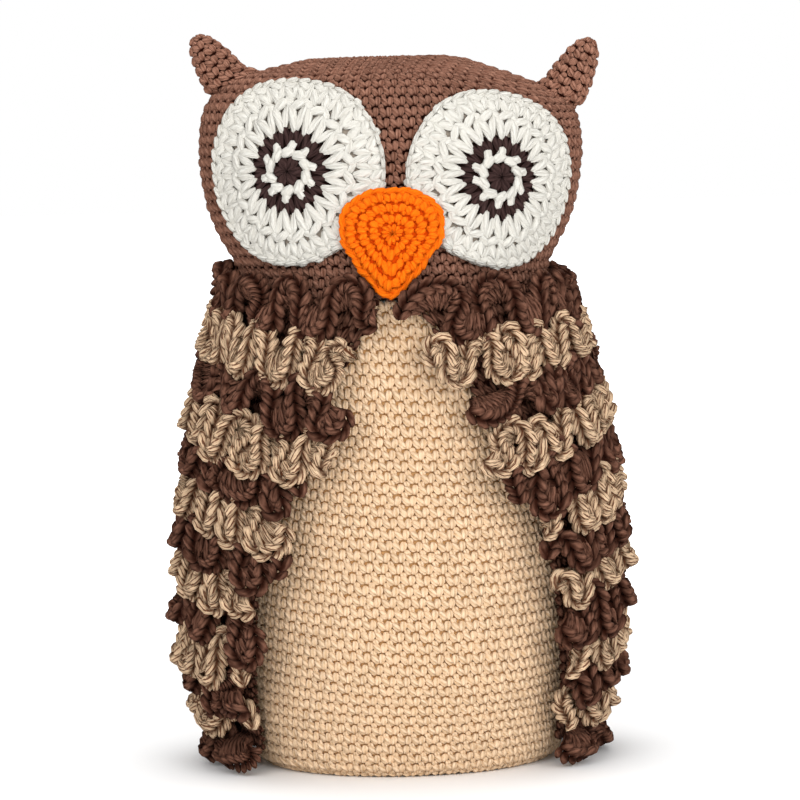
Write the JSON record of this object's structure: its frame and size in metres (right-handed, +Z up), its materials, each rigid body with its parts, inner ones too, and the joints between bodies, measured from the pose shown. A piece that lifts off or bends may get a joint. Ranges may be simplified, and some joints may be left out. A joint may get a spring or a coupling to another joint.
{
  "type": "plush owl",
  "caption": "Crocheted plush owl standing on a flat base, with ruffled wings that lift, disc eyes, a padded beak and small ears.",
  "frame": {"origin": "centre of the flat base, on the surface that the owl stands on", "axes": "+Z up; the owl looks along -Y; +X is the owl's own left"},
  "size_m": [0.2454, 0.2041, 0.3737],
  "materials": {
    "tan_yarn": "tan cotton yarn in single crochet",
    "brown_yarn": "warm brown cotton yarn in single crochet",
    "wing_yarn": "brown cotton yarn in ruffled double crochet",
    "marl_yarn": "a tan and a brown strand worked together",
    "white_yarn": "cream white cotton yarn",
    "dark_yarn": "very dark brown cotton yarn",
    "orange_yarn": "bright orange cotton yarn",
    "filling": "loose polyester fibre"
  },
  "bodies": {
    "torso": {"body_cover": "tan_yarn", "head_cover": "brown_yarn", "body_filling": "filling", "head_filling": "filling", "left_ear": "brown_yarn", "right_ear": "brown_yarn", "beak": "orange_yarn", "left_eye_pupil": "dark_yarn", "left_eye_inner_ring": "white_yarn", "left_eye_dark_ring": "dark_yarn", "left_eye_disc": "white_yarn", "right_eye_pupil": "dark_yarn", "right_eye_inner_ring": "white_yarn", "right_eye_dark_ring": "dark_yarn", "right_eye_disc": "white_yarn"},
    "left_wing": {"left_wing_panel": "wing_yarn", "left_brown_ruffle_1": "wing_yarn", "left_marl_ruffle_1": "marl_yarn", "left_brown_ruffle_2": "wing_yarn", "left_marl_ruffle_2": "marl_yarn", "left_brown_ruffle_3": "wing_yarn", "left_marl_ruffle_3": "marl_yarn", "left_brown_ruffle_4": "wing_yarn", "left_marl_ruffle_4": "marl_yarn", "left_brown_ruffle_5": "wing_yarn", "left_marl_ruffle_5": "marl_yarn", "left_brown_ruffle_6": "wing_yarn", "left_marl_ruffle_6": "marl_yarn", "left_brown_ruffle_7": "wing_yarn"},
    "right_wing": {"right_wing_panel": "wing_yarn", "right_brown_ruffle_1": "wing_yarn", "right_marl_ruffle_1": "marl_yarn", "right_brown_ruffle_2": "wing_yarn", "right_marl_ruffle_2": "marl_yarn", "right_brown_ruffle_3": "wing_yarn", "right_marl_ruffle_3": "marl_yarn", "right_brown_ruffle_4": "wing_yarn", "right_marl_ruffle_4": "marl_yarn", "right_brown_ruffle_5": "wing_yarn", "right_marl_ruffle_5": "marl_yarn", "right_brown_ruffle_6": "wing_yarn", "right_marl_ruffle_6": "marl_yarn", "right_brown_ruffle_7": "wing_yarn"}
  },
  "joints": [
    {"name": "left_wing_lift", "type": "hinge", "parent": "torso", "child": "left_wing", "pos_m": [0.077, 0, 0.2479], "axis": [0, -1, 0], "range_deg": [0, 25]},
    {"name": "right_wing_lift", "type": "hinge", "parent": "torso", "child": "right_wing", "pos_m": [-0.077, 0, 0.2479], "axis": [0, 1, 0], "range_deg": [0, 25]}
  ]
}
